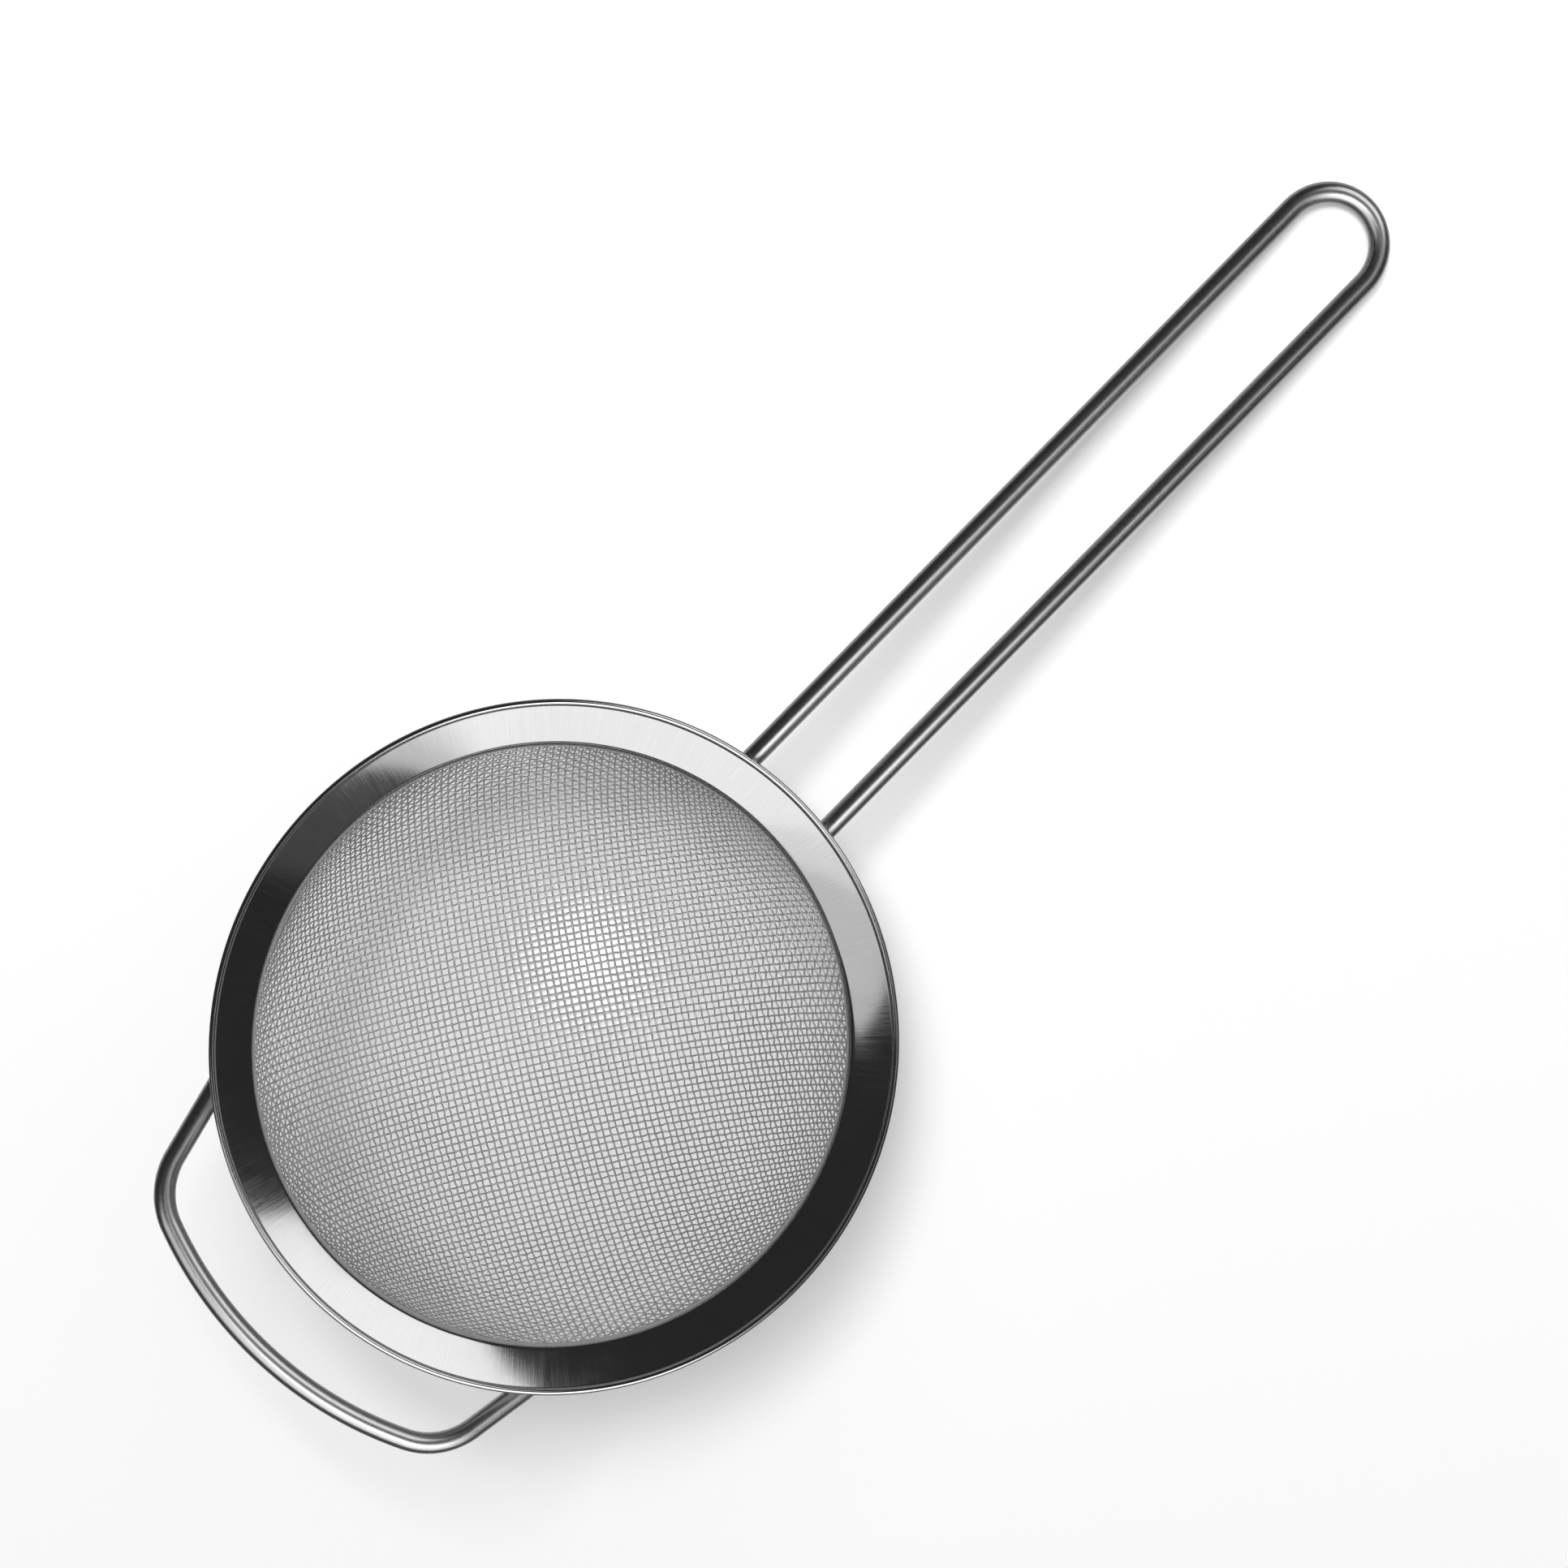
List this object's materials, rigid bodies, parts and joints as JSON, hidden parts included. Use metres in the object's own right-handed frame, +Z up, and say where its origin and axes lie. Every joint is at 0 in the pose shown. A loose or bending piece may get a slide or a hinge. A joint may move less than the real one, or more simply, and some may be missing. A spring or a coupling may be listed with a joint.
{
  "type": "tea strainer",
  "caption": "Round tea strainer with a drawn wire-cloth bowl in a pressed flanged collar, a bent-wire loop handle and a wire front rest that spans a cup.",
  "frame": {"origin": "middle of the bounding box in X and Y, on the table surface that the strainer lies on", "axes": "+Z up from the table; the handle runs out along +X and slopes down to touch the table at its end; the front rest is on the -X side. The strainer lies as it does on a table, on its bowl and the end of its handle, so the collar's own axis leans about 19.7 degrees from +Z towards +X"},
  "size_m": [0.1794, 0.08, 0.0514],
  "materials": {
    "rim_collar": "satin, finely brushed across the flange",
    "mesh_bowl": "bright drawn wire cloth",
    "mesh_retaining_band": "satin",
    "handle_wire": "polished stainless wire",
    "front_rest_wire": "polished stainless wire",
    "weld": "matt weld bead"
  },
  "bodies": {
    "root": {"rim_collar": "rim_collar", "mesh_bowl": "mesh_bowl", "mesh_retaining_band": "mesh_retaining_band", "handle_wire": "handle_wire", "front_rest_wire": "front_rest_wire", "handle_weld_left": "weld", "handle_weld_right": "weld", "rest_weld_left": "weld", "rest_weld_right": "weld"}
  },
  "joints": []
}
